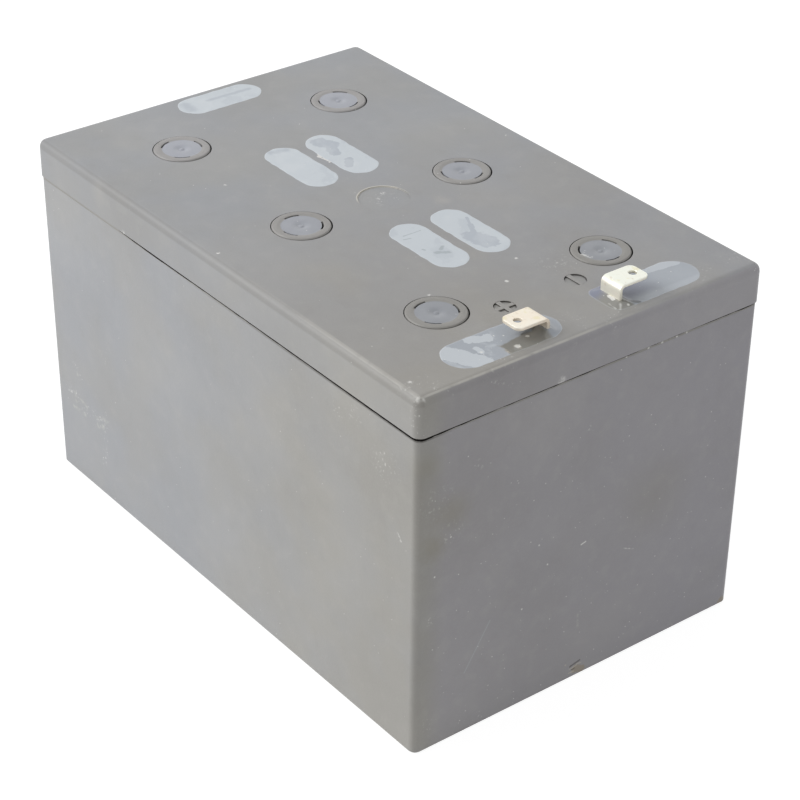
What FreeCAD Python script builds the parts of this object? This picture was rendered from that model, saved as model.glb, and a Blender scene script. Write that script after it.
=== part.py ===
import FreeCAD, Part
import math
import os

# Sealed lead-acid battery: six cells in two columns of three, inside one case closed by a bonded lid.
# Millimetres. +X points to the terminal end, +Y to the negative terminal's side, +Z up.
# The origin is the centre of the base.

# Case and lid, outside
LENGTH = 152.0
WIDTH = 97.9
HEIGHT = 93.4  # base to the lid's top face
LID_DEPTH = 9.6  # height of the lid's skirt
SEAM_GAP = 0.8  # open line between the skirt and the case's shoulder
LID_OVERHANG = 0.3  # skirt past the case, on each side
CASE_DRAFT = 0.3  # case narrower at its base than at its shoulder, on each side
LID_CORNER = 2.2
LID_EDGE = 2.0
BASE_EDGE = 0.4

# Case walls, and the tongue that stands up inside the skirt and carries the lid
WALL = 2.4
FLOOR = 3.0
PARTITION = 1.8
TONGUE_HEIGHT = 3.2
TONGUE_THICKNESS = 1.2
JOINT_CLEARANCE = 0.15

# Lid, inside
LID_PLATE = 2.5
LID_RIB = 3.0
WELL_WALL = 1.6
WELL_DEPTH = 5.5

# Windows in the lid: two rows of links near the middle, one link at the back, one well for each terminal
LINK_WELL_RADIUS = 4.6
LINK_PITCH = 14.3  # post to post, along the length
LINK_OFFSET = 6.0  # from the middle line to each row of links
BACK_LINK_PITCH = 14.2  # post to post, across the width
BACK_LINK_INSET = 7.6  # from the lid's back edge
TERMINAL_WELL_RADIUS = 5.4
POSITIVE_WELL_INNER = 10.4  # from the middle line to the positive well's inner end centre
NEGATIVE_WELL_INNER = 13.2  # the same to the negative well's
TERMINAL_WELL_OUTER = 29.8  # the same to each well's outer end centre
TERMINAL_INSET = 8.7  # from the lid's front edge
POTTING_DROP = 0.1  # resin below the lid's top face

# Vents, one over each cell
VENT_OUTSET = 0.3  # away from the cell's centre, towards the nearer end
COVER_RADIUS = 6.9
COVER_THICKNESS = 1.6
COVER_PROUD = 0.2
COVER_GAP = 0.3
COVER_SLOT_RADIUS = 4.95
COVER_SLOT_WIDTH = 0.45
COVER_SLOT_ARC = 44.0
COVER_SLOTS = 3
COVER_TURNS = (73.0, 53.0, 88.0, 19.0, 20.0, 114.0)  # how each cover was pressed in, in degrees
NECK_RADIUS = 3.0
NECK_BORE_RADIUS = 1.5
VALVE_POCKET_HALF = 4.9  # square pocket round the neck
VALVE_RADIUS = 4.2
VALVE_THICKNESS = 1.2

# Round recesses in the lid's top
SIGN_RADIUS = 2.55
SIGN_DEPTH = 0.6
SIGN_SETBACK = 10.9  # behind the terminals
SIGN_OFFSET = 10.1  # from the middle line
GATE_RADIUS = 6.2
GATE_DEPTH = 0.25

# Plates, separators, straps and posts
POSITIVE_PLATES = 4
POSITIVE_PLATE = 3.8
NEGATIVE_PLATE = 2.8
STACK_CLEARANCE = 0.2
PLATE_SIDE_CLEARANCE = 0.8
SEPARATOR_SIDE_CLEARANCE = 0.4
SEPARATOR_RISE = 2.0  # mat above the plates
LUG_WIDTH = 9.0
LUG_HEIGHT = 3.5
STRAP_THICKNESS = 4.0
STRAP_END = 1.5  # strap short of the stack, at each end
HEADSPACE = 8.5  # strap to the lid's underside
POST_LENGTH = 4.0  # along the length
POST_WIDTH = 3.4  # across the width
POST_CLEARANCE = 0.2
POST_PROUD = 0.4  # post above the link or foot that it is burned to

# Links and terminals
LINK_THICKNESS = 2.2
LINK_CLEARANCE = 0.4  # link's corners to the round ends of its well
BLADE_WIDTH = 6.35
BLADE_THICKNESS = 0.8
POSITIVE_BLADE_RISE = 3.6  # blade's top above the lid
NEGATIVE_BLADE_RISE = 4.4
BLADE_LENGTH = 8.8
POSITIVE_BLADE_LEG = 9.4  # from the middle line to the blade's leg
NEGATIVE_BLADE_LEG = 10.4
BLADE_BEND = 0.7
BLADE_CORNER = 1.6
BLADE_HOLE_RADIUS = 1.0
BLADE_HOLE_INSET = 2.4
TERMINAL_POST_REACH = 15.8  # from the leg to the post under the resin
FOOT_END = 3.8  # foot past the post's middle

# Levels
SKIRT_Z = HEIGHT - LID_DEPTH
SHOULDER_Z = SKIRT_Z - SEAM_GAP
LEDGE_Z = SHOULDER_Z + TONGUE_HEIGHT
PLATE_UNDERSIDE_Z = HEIGHT - LID_PLATE
WELL_FLOOR_Z = HEIGHT - WELL_DEPTH
COVER_SEAT_Z = HEIGHT + COVER_PROUD - COVER_THICKNESS
NECK_TOP_Z = COVER_SEAT_Z - VALVE_THICKNESS
STRAP_TOP_Z = LEDGE_Z - HEADSPACE
STRAP_Z = STRAP_TOP_Z - STRAP_THICKNESS
PLATE_TOP_Z = STRAP_Z - LUG_HEIGHT

# Plan sizes
CASE_HALF = (LENGTH / 2 - LID_OVERHANG, WIDTH / 2 - LID_OVERHANG)
CASE_CORNER = LID_CORNER - LID_OVERHANG
INSIDE_HALF = (CASE_HALF[0] - WALL, CASE_HALF[1] - WALL)
TONGUE_HALF = (INSIDE_HALF[0] + TONGUE_THICKNESS, INSIDE_HALF[1] + TONGUE_THICKNESS)
CELL_SIZE = ((2 * INSIDE_HALF[0] - 2 * PARTITION) / 3, (2 * INSIDE_HALF[1] - PARTITION) / 2)
CELL_PITCH = (CELL_SIZE[0] + PARTITION, CELL_SIZE[1] + PARTITION)
TERMINAL_X = LENGTH / 2 - TERMINAL_INSET
BACK_LINK_X = BACK_LINK_INSET - LENGTH / 2
VENT_WELL_RADIUS = COVER_RADIUS + COVER_GAP

# What differs between the terminals, by column
TERMINAL_WELL_INNER = {-1: POSITIVE_WELL_INNER, 1: NEGATIVE_WELL_INNER}
BLADE_RISE = {-1: POSITIVE_BLADE_RISE, 1: NEGATIVE_BLADE_RISE}
BLADE_LEG = {-1: POSITIVE_BLADE_LEG, 1: NEGATIVE_BLADE_LEG}

# Stack of one cell across the width: a negative plate at each end, a mat folded round each positive plate
NEGATIVE_PLATES = POSITIVE_PLATES + 1
STACK = CELL_SIZE[1] - 2 * STACK_CLEARANCE
LEAD_THICKNESS = POSITIVE_PLATES * POSITIVE_PLATE + NEGATIVE_PLATES * NEGATIVE_PLATE
SEPARATOR = (STACK - LEAD_THICKNESS) / (2 * POSITIVE_PLATES)
PLATE_PITCH = POSITIVE_PLATE + NEGATIVE_PLATE + 2 * SEPARATOR
PLATE_HALF = CELL_SIZE[0] / 2 - PLATE_SIDE_CLEARANCE
PLATE_Z = FLOOR + SEPARATOR

# Cells in series, as (row, column), from the positive terminal round the back to the negative one
CELL_CHAIN = ((1, -1), (0, -1), (-1, -1), (-1, 1), (0, 1), (1, 1))
UP = FreeCAD.Vector(0, 0, 1)
TOUCH = 1e-6  # tolerance when edges are picked by place


def block(x, y, z):
    """Box between the two values of each pair."""
    corner = FreeCAD.Vector(x[0], y[0], z[0])
    return Part.makeBox(x[1] - x[0], y[1] - y[0], z[1] - z[0], corner)


def centred_block(centre, half, z):
    """Box about a plan point, with plan half sizes."""
    x = (centre[0] - half[0], centre[0] + half[0])
    y = (centre[1] - half[1], centre[1] + half[1])
    return block(x, y, z)


def enclosing_block(ends, reach, z):
    """Box that takes in two plan points, with a margin round them."""
    x, y = [(min(pair) - reach, max(pair) + reach) for pair in zip(*ends)]
    return block(x, y, z)


def rounded_block(centre, half, corner, z):
    box = centred_block(centre, half, z)
    return box.makeFillet(corner, uprights(box))


def uprights(box):
    """The edges of a block that run from its bottom to its top."""
    height = box.BoundBox.ZLength
    return [edge for edge in box.Edges if edge.BoundBox.ZLength > height / 2]


def edges_at(shape, z):
    """Edges that lie flat at one height."""
    return [e for e in shape.Edges if max(abs(e.BoundBox.ZMin - z), abs(e.BoundBox.ZMax - z)) < TOUCH]


def cylinder(centre, radius, z):
    return Part.makeCylinder(radius, z[1] - z[0], FreeCAD.Vector(centre[0], centre[1], z[0]))


def obround(ends, radius, z):
    """Upright block with straight sides and a half-round at each of two end centres."""
    first, last = [FreeCAD.Vector(end[0], end[1], z[0]) for end in ends]
    along = (last - first).normalize() * radius
    side = UP.cross(along)
    edges = [
        Part.LineSegment(first - side, last - side).toShape(),
        Part.Arc(last - side, last + along, last + side).toShape(),
        Part.LineSegment(last + side, first + side).toShape(),
        Part.Arc(first + side, first - along, first - side).toShape(),
    ]
    return Part.Face(Part.Wire(edges)).extrude(UP * (z[1] - z[0]))


def turned(profile, angle=360.0):
    """Solid turned about the Z axis from a closed list of (radius, height) points."""
    points = [FreeCAD.Vector(radius, 0, height) for radius, height in profile]
    face = Part.Face(Part.makePolygon(points + points[:1]))
    return face.revolve(FreeCAD.Vector(0, 0, 0), UP, angle)


def cell_centre(row, column):
    return (row * CELL_PITCH[0], column * CELL_PITCH[1] / 2)


def vent_centre(row, column):
    x, y = cell_centre(row, column)
    return (x + row * VENT_OUTSET, y)


def post_centre(row, column, side):
    """Place of the post on one side of a cell: under a row link, the back link or a terminal."""
    if abs(row + side) <= 1:
        boundary = (row + side / 2) * CELL_PITCH[0]
        return (boundary - side * LINK_PITCH / 2, column * LINK_OFFSET)
    if side < 0:
        return (BACK_LINK_X, column * BACK_LINK_PITCH / 2)
    return (TERMINAL_X, column * (BLADE_LEG[column] + TERMINAL_POST_REACH))


def positive_side(column):
    """End of the cell that its positive strap is at, so that neighbours in the chain meet."""
    return -column


def link_ends():
    """The two posts under each link, in chain order."""
    pairs = zip(CELL_CHAIN, CELL_CHAIN[1:])
    return [(post_centre(*a, -positive_side(a[1])), post_centre(*b, positive_side(b[1]))) for a, b in pairs]


def terminal_well_ends(column):
    places = (TERMINAL_WELL_INNER[column], TERMINAL_WELL_OUTER)
    return tuple((TERMINAL_X, column * place) for place in places)


def window_wells():
    """End centres and radius of every window in the lid."""
    links = [(ends, LINK_WELL_RADIUS) for ends in link_ends()]
    return links + [(terminal_well_ends(column), TERMINAL_WELL_RADIUS) for column in (-1, 1)]


def drafted_block(base_half, top_half, height):
    """Box that stands on the base, with sides that lean out towards its top."""
    low = (-base_half[0], 0, -base_half[1], -top_half[1], -top_half[0])
    high = (base_half[0], height, base_half[1], top_half[1], top_half[0])
    wedge = Part.makeWedge(*low, *high)
    wedge.rotate(FreeCAD.Vector(0, 0, 0), FreeCAD.Vector(1, 0, 0), 90)
    return wedge


def make_case():
    """Drafted box with a bevelled base edge, a tongue round its rim and one pocket for each cell."""
    base_half = [half - CASE_DRAFT for half in CASE_HALF]
    shell = drafted_block(base_half, CASE_HALF, SHOULDER_Z)
    shell = shell.makeFillet(CASE_CORNER, uprights(shell))
    shell = shell.makeChamfer(BASE_EDGE, edges_at(shell, 0))
    shell = shell.fuse(centred_block((0, 0), TONGUE_HALF, (SHOULDER_Z, LEDGE_Z)))
    half = [size / 2 for size in CELL_SIZE]
    return shell.cut([centred_block(cell_centre(*cell), half, (FLOOR, LEDGE_Z)) for cell in CELL_CHAIN])


def lid_headspaces():
    """Hollows under the lid's plate, one for each cell, less the well and vent bodies that hang in them."""
    z = (LEDGE_Z, PLATE_UNDERSIDE_Z)
    bodies = [enclosing_block(ends, radius + WELL_WALL, z) for ends, radius in window_wells()]
    vent_half = (VENT_WELL_RADIUS + WELL_WALL, VENT_WELL_RADIUS + WELL_WALL)
    bodies += [centred_block(vent_centre(*cell), vent_half, z) for cell in CELL_CHAIN]
    trim = (LID_RIB - PARTITION) / 2
    spaces = []
    for row, column in CELL_CHAIN:
        x, y = cell_centre(row, column)
        low_x = x - CELL_SIZE[0] / 2 + (trim if row > -1 else 0)
        high_x = x + CELL_SIZE[0] / 2 - (trim if row < 1 else 0)
        inner_y = column * (LID_RIB / 2)
        outer_y = column * INSIDE_HALF[1]
        spaces.append(block((low_x, high_x), sorted((inner_y, outer_y)), z).cut(bodies))
    return spaces


def vent_well(centre):
    """Round seat for the cover, and below it a square pocket with the neck that the valve closes."""
    seat = cylinder(centre, VENT_WELL_RADIUS, (COVER_SEAT_Z, HEIGHT))
    pocket = centred_block(centre, (VALVE_POCKET_HALF, VALVE_POCKET_HALF), (WELL_FLOOR_Z, COVER_SEAT_Z))
    pocket = pocket.cut(cylinder(centre, NECK_RADIUS, (WELL_FLOOR_Z, NECK_TOP_Z)))
    return seat.fuse([pocket, cylinder(centre, NECK_BORE_RADIUS, (LEDGE_Z, NECK_TOP_Z))])


def post_holes():
    half = (POST_LENGTH / 2 + POST_CLEARANCE, POST_WIDTH / 2 + POST_CLEARANCE)
    places = [post_centre(*cell, side) for cell in CELL_CHAIN for side in (-1, 1)]
    return [centred_block(place, half, (LEDGE_Z, WELL_FLOOR_Z)) for place in places]


def lid_recesses():
    """Shallow round places in the top: two for the polarity signs and one round the moulding gate."""
    sign_z = (HEIGHT - SIGN_DEPTH, HEIGHT)
    sign_x = TERMINAL_X - SIGN_SETBACK
    signs = [cylinder((sign_x, column * SIGN_OFFSET), SIGN_RADIUS, sign_z) for column in (-1, 1)]
    return signs + [cylinder((0, 0), GATE_RADIUS, (HEIGHT - GATE_DEPTH, HEIGHT))]


def make_lid():
    outer = rounded_block((0, 0), (LENGTH / 2, WIDTH / 2), LID_CORNER, (SKIRT_Z, HEIGHT))
    outer = outer.makeFillet(LID_EDGE, edges_at(outer, HEIGHT))
    lip_half = [half + JOINT_CLEARANCE for half in TONGUE_HALF]
    lip = centred_block((0, 0), lip_half, (SKIRT_Z, LEDGE_Z))
    wells = [obround(ends, radius, (WELL_FLOOR_Z, HEIGHT)) for ends, radius in window_wells()]
    vents = [vent_well(vent_centre(*cell)) for cell in CELL_CHAIN]
    return outer.cut([lip] + lid_headspaces() + wells + post_holes() + vents + lid_recesses())


def make_vent_cover(centre, turn):
    """Disc with arc slots that let gas out."""
    z = (COVER_SEAT_Z, COVER_SEAT_Z + COVER_THICKNESS)
    inner = COVER_SLOT_RADIUS - COVER_SLOT_WIDTH / 2
    outer = COVER_SLOT_RADIUS + COVER_SLOT_WIDTH / 2
    section = [(inner, z[0]), (outer, z[0]), (outer, z[1]), (inner, z[1])]
    slots = []
    for number in range(COVER_SLOTS):
        slot = turned(section, COVER_SLOT_ARC)
        start = turn + number * 360.0 / COVER_SLOTS - COVER_SLOT_ARC / 2
        slot.rotate(FreeCAD.Vector(0, 0, 0), UP, start)
        slots.append(slot)
    cover = cylinder((0, 0), COVER_RADIUS, z).cut(slots)
    cover.translate(FreeCAD.Vector(centre[0], centre[1], 0))
    return cover


def make_valve_disc(centre):
    """Rubber disc that lies on the neck's rim and is held down by the cover."""
    return cylinder(centre, VALVE_RADIUS, (NECK_TOP_Z, COVER_SEAT_Z))


def stack_start(column):
    """Where a cell's stack begins across the width."""
    return cell_centre(0, column)[1] - STACK / 2


def make_plate(x, side, y, thickness):
    """Pasted plate with its lug at the top corner, cut from one outline."""
    edge = x + side * PLATE_HALF
    far_edge = x - side * PLATE_HALF
    lug = edge - side * LUG_WIDTH
    outline = [
        (far_edge, PLATE_Z),
        (edge, PLATE_Z),
        (edge, STRAP_Z),
        (lug, STRAP_Z),
        (lug, PLATE_TOP_Z),
        (far_edge, PLATE_TOP_Z),
    ]
    points = [FreeCAD.Vector(across, y, height) for across, height in outline]
    return Part.Face(Part.makePolygon(points + points[:1])).extrude(FreeCAD.Vector(0, thickness, 0))


def make_plate_group(cell, side, count, thickness, first_y):
    """Plates of one polarity, cast by their lugs onto a strap that carries the post."""
    x, middle = cell_centre(*cell)
    plates = [make_plate(x, side, first_y + n * PLATE_PITCH, thickness) for n in range(count)]
    strap_x = x + side * (PLATE_HALF - LUG_WIDTH / 2)
    strap_half = (LUG_WIDTH / 2, STACK / 2 - STRAP_END)
    strap = centred_block((strap_x, middle), strap_half, (STRAP_Z, STRAP_TOP_Z))
    post = make_post(post_centre(*cell, side), STRAP_TOP_Z, post_top(cell[0], side))
    return strap.fuse(plates + [post]).removeSplitter()


def make_post(centre, low, high):
    return centred_block(centre, (POST_LENGTH / 2, POST_WIDTH / 2), (low, high))


def post_top(row, side):
    """A terminal's post ends above the foot of its blade, every other one above its link."""
    seat = BLADE_THICKNESS if row + side > 1 else LINK_THICKNESS
    return WELL_FLOOR_Z + seat + POST_PROUD


def make_positive_group(cell):
    first_y = stack_start(cell[1]) + NEGATIVE_PLATE + SEPARATOR
    return make_plate_group(cell, positive_side(cell[1]), POSITIVE_PLATES, POSITIVE_PLATE, first_y)


def make_negative_group(cell):
    first_y = stack_start(cell[1])
    return make_plate_group(cell, -positive_side(cell[1]), NEGATIVE_PLATES, NEGATIVE_PLATE, first_y)


def make_separators(cell):
    """Glass mats, each folded in a U under and round one positive plate."""
    row, column = cell
    x = cell_centre(row, column)[0]
    half = CELL_SIZE[0] / 2 - SEPARATOR_SIDE_CLEARANCE
    top = PLATE_TOP_Z + SEPARATOR_RISE
    mats = []
    for number in range(POSITIVE_PLATES):
        low = stack_start(column) + NEGATIVE_PLATE + number * PLATE_PITCH
        high = low + POSITIVE_PLATE + 2 * SEPARATOR
        mat = block((x - half, x + half), (low, high), (FLOOR, top))
        slot = block((x - half, x + half), (low + SEPARATOR, high - SEPARATOR), (PLATE_Z, top))
        mats.append(mat.cut(slot))
    return Part.makeCompound(mats)


def link_outline(ends):
    """Outside of a link: a bar on the well's floor that takes in both posts."""
    reach = (LINK_WELL_RADIUS - LINK_CLEARANCE) / math.sqrt(2)
    return enclosing_block(ends, reach, (WELL_FLOOR_Z, WELL_FLOOR_Z + LINK_THICKNESS))


def post_sleeve(centre, thickness):
    """Opening for a post through a link or a blade's foot."""
    half = (POST_LENGTH / 2 + POST_CLEARANCE, POST_WIDTH / 2 + POST_CLEARANCE)
    return centred_block(centre, half, (WELL_FLOOR_Z, WELL_FLOOR_Z + thickness))


def make_link(ends):
    return link_outline(ends).cut([post_sleeve(end, LINK_THICKNESS) for end in ends])


def make_link_potting(ends):
    top = HEIGHT - POTTING_DROP
    link_top = WELL_FLOOR_Z + LINK_THICKNESS
    posts = [make_post(end, link_top, link_top + POST_PROUD) for end in ends]
    return obround(ends, LINK_WELL_RADIUS, (WELL_FLOOR_Z, top)).cut([link_outline(ends)] + posts)


def terminal_strip(column):
    """Blade, leg and foot as one bent strip: a C seen from the end, open towards the battery's side."""
    leg = BLADE_LEG[column]
    foot = leg + TERMINAL_POST_REACH + FOOT_END
    tip = leg + BLADE_LENGTH
    top = HEIGHT + BLADE_RISE[column]
    low = WELL_FLOOR_Z
    inside = leg + BLADE_THICKNESS
    profile = [
        (foot, low),
        (leg, low),
        (leg, top),
        (tip, top),
        (tip, top - BLADE_THICKNESS),
        (inside, top - BLADE_THICKNESS),
        (inside, low + BLADE_THICKNESS),
        (foot, low + BLADE_THICKNESS),
    ]
    points = [FreeCAD.Vector(TERMINAL_X - BLADE_WIDTH / 2, column * y, z) for y, z in profile]
    strip = Part.Face(Part.makePolygon(points + points[:1])).extrude(FreeCAD.Vector(BLADE_WIDTH, 0, 0))
    strip = strip.makeFillet(BLADE_BEND, edges_across(strip, column * inside))
    strip = strip.makeFillet(BLADE_BEND + BLADE_THICKNESS, edges_across(strip, column * leg))
    at_tip = [edge for edge in strip.Edges if abs(edge.CenterOfMass.y - column * tip) < TOUCH]
    corners = [edge for edge in at_tip if is_upright(edge)]
    return strip.makeFillet(BLADE_CORNER, corners)


def edges_across(shape, y):
    """Edges along the length that lie at one place across the width."""
    across = [edge for edge in shape.Edges if edge.BoundBox.XLength > BLADE_WIDTH / 2]
    return [edge for edge in across if abs(edge.CenterOfMass.y - y) < TOUCH]


def is_upright(edge):
    box = edge.BoundBox
    return box.ZLength > TOUCH and max(box.XLength, box.YLength) < TOUCH


def make_terminal(column):
    strip = terminal_strip(column)
    hole_y = column * (BLADE_LEG[column] + BLADE_LENGTH - BLADE_HOLE_INSET)
    hole = cylinder((TERMINAL_X, hole_y), BLADE_HOLE_RADIUS, (HEIGHT, HEIGHT + BLADE_RISE[column]))
    return strip.cut([hole, post_sleeve(post_centre(1, column, 1), BLADE_THICKNESS)])


def make_terminal_potting(column):
    top = HEIGHT - POTTING_DROP
    foot_top = WELL_FLOOR_Z + BLADE_THICKNESS
    place = post_centre(1, column, 1)
    fill = obround(terminal_well_ends(column), TERMINAL_WELL_RADIUS, (WELL_FLOOR_Z, top))
    post = make_post(place, foot_top, foot_top + POST_PROUD)
    return fill.cut([terminal_strip(column), post_sleeve(place, BLADE_THICKNESS), post])


def all_pieces():
    vents = [vent_centre(*cell) for cell in CELL_CHAIN]
    covers = [make_vent_cover(centre, turn) for centre, turn in zip(vents, COVER_TURNS)]
    pieces = {
        "case": make_case(),
        "lid": make_lid(),
        "vent_covers": Part.makeCompound(covers),
        "valve_discs": Part.makeCompound([make_valve_disc(centre) for centre in vents]),
        "link_potting": Part.makeCompound([make_link_potting(ends) for ends in link_ends()]),
    }
    for number, cell in enumerate(CELL_CHAIN, 1):
        pieces[f"positive_plates_{number}"] = make_positive_group(cell)
        pieces[f"negative_plates_{number}"] = make_negative_group(cell)
        pieces[f"separators_{number}"] = make_separators(cell)
    for number, ends in enumerate(link_ends(), 1):
        pieces[f"cell_link_{number}"] = make_link(ends)
    for name, column in (("positive", -1), ("negative", 1)):
        pieces[f"{name}_terminal"] = make_terminal(column)
        pieces[f"{name}_terminal_potting"] = make_terminal_potting(column)
    return pieces


def main():
    os.makedirs("parts", exist_ok=True)
    for name, shape in all_pieces().items():
        shape.exportStep(f"parts/{name}.step")


main()
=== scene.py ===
# Looks of a sealed lead-acid battery: moulded grey plastic, cast resin, tinned blades, dust and wear

import math

import bmesh
import bpy
import numpy as np
from mathutils import Matrix, Vector, noise


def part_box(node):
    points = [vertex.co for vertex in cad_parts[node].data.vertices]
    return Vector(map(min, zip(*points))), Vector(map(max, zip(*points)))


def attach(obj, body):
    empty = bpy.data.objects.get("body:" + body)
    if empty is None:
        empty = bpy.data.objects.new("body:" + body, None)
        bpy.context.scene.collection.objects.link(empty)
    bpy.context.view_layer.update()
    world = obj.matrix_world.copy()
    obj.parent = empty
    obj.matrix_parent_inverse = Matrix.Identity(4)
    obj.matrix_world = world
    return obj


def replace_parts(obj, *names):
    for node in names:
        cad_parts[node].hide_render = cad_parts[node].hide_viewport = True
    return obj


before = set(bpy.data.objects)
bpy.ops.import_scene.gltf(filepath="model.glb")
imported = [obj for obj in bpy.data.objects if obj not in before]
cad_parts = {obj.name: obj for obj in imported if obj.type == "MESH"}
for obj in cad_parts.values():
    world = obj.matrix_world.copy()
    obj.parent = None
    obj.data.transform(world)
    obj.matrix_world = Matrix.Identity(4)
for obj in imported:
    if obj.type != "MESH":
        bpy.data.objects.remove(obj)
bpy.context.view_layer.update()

MM = 0.001
WELD = 1e-6

# Camera, fitted to the outline of the case and lid and to the vents
LENS = 107.542
SENSOR = 36.0
AZIMUTH = 52.051
ELEVATION = 31.825
ROLL = 0.672
DISTANCE = 581.86
SIDESTEP = 4.246
LIFT = -9.505
AIM_HEIGHT = 49.0

# Lamp, sky and floor
KEY_PLACE = (-420.0, -640.0, 610.0)
KEY_SIZE = 540.0
KEY_POWER = 4.95
FILL_LIGHT = 0.54
FLOOR_HALF = 4000.0
FLOOR_DROP = 0.2
FLOOR_GLOW = 0.88
FLOOR_MATTE = (0.85, 0.85, 0.85, 1.0)
FLOOR_THIN = (0.3, 0.3, 0.3, 1.0)

# Places on the part, in millimetres
lid_low, lid_high = (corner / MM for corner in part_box("lid"))
case_low, case_high = (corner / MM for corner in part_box("case"))
plus_low, plus_high = (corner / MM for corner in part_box("positive_terminal"))
minus_low, minus_high = (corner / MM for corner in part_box("negative_terminal"))
LID_TOP = lid_high.z
LID_CORNER = 2.2
SEAM_TOP = lid_low.z
SEAM_GAP = 0.8
CASE_DRAFT = 0.3
FRONT_Y = case_low.y
END_X = case_high.x
SINK = 0.05  # reach of an added piece into the one that carries it

# Blades: edges that turn by more than an angle, between faces flat within another, are softened
BLADE_THICKNESS = 0.8
BLADE_EDGE = 0.18
BLADE_EDGE_STEPS = 3
SHARP_BEYOND = 40.0
FLAT_WITHIN = 1.0

# Vent covers, stations from the middle out as radius and height from the rim's top
COVER_STEPS = 180
COVER_TURNS = (88, 19, 53, 20, 73, 114)
COVER_SLOTS = 3
COVER_SLOT_ARC = 44
SLOT_INNER = 4.72
SLOT_OUTER = 5.18
COVER_RIM = 0.25
COVER_SHIFT = -0.12
COVER_PROFILE = (
    (0.35, -0.16), (0.62, -0.34), (1.0, -0.33), (1.35, -0.14), (2.6, -0.12), (4.2, -0.12),
    (SLOT_INNER, -0.16), (SLOT_OUTER, -0.08), (5.4, -0.02), (5.7, 0.0), (6.5, 0.0),
)

# Polarity signs, moulded in round recesses beside the blades
SIGN_SETBACK = 10.9
SIGN_OFFSET = 10.1
SIGN_RADIUS = 2.55
SIGN_DEPTH = 0.6
SIGN_BAR = 1.25
SIGN_EDGE = 0.12
SIGN_DROP = 0.01
SIGN_BASE = 0.38
SIGN_PLAY = 0.12
sign_x = (plus_low.x + plus_high.x) / 2 - SIGN_SETBACK

# Resin skins: lip at the edge, as share of the way out and height from the lid's top, then a shallow hollow
SKIN_LIP = ((1.0, -0.03), (0.985, 0.02), (0.94, 0.015))
SKIN_RIM = 0.95
SKIN_STEPS = 12
SKIN_HOLLOW = 0.06
SKIN_FOOT = -0.4
SKIN_SPREAD = 0.12
SKIN_WANDER = 0.22
WANDER_RATE = 0.45
SKIN_RIPPLE = 0.03
RIPPLE_RATE = 0.5
RIPPLE_SEED = 9
SQUARE_END = 5.0

# Resin that has crept up round the legs: reach and rise, and how late it fades towards the lip
PLUS_LUMP = (1.5, 1.0)
MINUS_LUMP = (1.6, 0.9)
LUMP_FADE = 6

# Glue in the seam: depths of its front, back and root behind the case's face, and noise along its brim
GLUE_DEPTHS = (0.02, 0.6, 1.15)
GLUE_SPACING = 0.8
GLUE_RATE = 0.35
GLUE_SEED = 4.0

# Share of the seam's height that stands open, by place along the front and along the end
LEAST_OPEN = 0.02
MOST_OPEN = 0.96
FRONT_BELOW_Y = -45.0
END_BEYOND_X = 72.0
FRONT_OPENING = ((-46, 0.02), (-36, 0.7), (-24, 0.92), (0, 0.7), (36, 0.84), (60, 0.96))
END_OPENING = ((-47, 0.85), (-40, 0.76), (-26, 0.5), (-12, 0.6), (8, 0.45), (26, 0.36), (44, 0.56))


def on_front(x, z):
    """A point on the case's long front face, which leans in towards the base."""
    return (x, FRONT_Y + CASE_DRAFT * (1 - z / SEAM_TOP), z)


def on_end(y, z):
    """A point on the case's end face by the terminals."""
    return (END_X - CASE_DRAFT * (1 - z / SEAM_TOP), y, z)


def on_top(x, y, rise=0.0):
    """A point on the lid's top, or raised from it."""
    return (x, y, LID_TOP + rise)


def tone(red, green, blue):
    """A colour given as screen values from 0 to 255, in linear light."""
    levels = (value / 255 for value in (red, green, blue))
    return (*(v / 12.92 if v <= 0.04045 else ((v + 0.055) / 1.055) ** 2.4 for v in levels), 1.0)


PLASTIC_COOL = tone(155, 157, 161)
PLASTIC_WARM = tone(158, 156, 151)
# The end face's grey, darkened as painted shade
PLASTIC_END_SHADE = tone(152, 150, 155)
PLASTIC_PALE = tone(198, 196, 190)
PLASTIC_DARK = tone(104, 100, 94)
# The darkest brown: dirt, and painted shade in recesses and under the seam
DIRT_AND_SHADE = tone(50, 45, 40)
# The near white of dust and crumbs, also used for painted glints on the negative resin's lump
DUST_AND_GLINT = tone(236, 236, 232)
RESIN_MILKY = tone(204, 211, 217)
RESIN_GREY = tone(180, 187, 196)
RESIN_BLUE = tone(167, 173, 181)
RESIN_CLEAR = tone(144, 143, 138)
RESIN_PALE = tone(218, 223, 227)
RESIN_CREASE = tone(140, 152, 155)
PLASTIC_GRAIN = 0.03  # depth of the moulding's grain

# Marks on a face. A spot has its place there, then radius, softness and raggedness. A streak has two places,
# then half width, softness and raggedness. What a table leaves out, its marks have in common. Places of the
# smear on a cover also have a rise above the lid's top, and the seam's crumbs lie along the end.
FRONT_DUST = (
    (64.8, 72.0, 3.5, 3.0),
    (53.8, 79.0, 2.0, 2.0),
    (48.0, 77.2, 1.5, 1.5),
    (-49.7, 43.6, 1.5, 2.0),
)
FRONT_DUST_TRAILS = (
    ((-65.5, 34.0), (-63.0, 31.0), 1.5),
    ((-71.5, 25.3), (-67.0, 24.7), 1.6),
    ((-67.0, 24.7), (-62.0, 22.7), 2.2),
    ((-62.0, 22.7), (-52.0, 22.4), 2.4),
    ((-52.0, 20.0), (-53.5, 10.0), 1.6),
)
FRONT_SCUFFS = (
    ((-69.5, 24.2), (-66.2, 24.9), 0.45),
    ((69.0, 57.0), (70.2, 55.6), 0.4),
)
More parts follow.
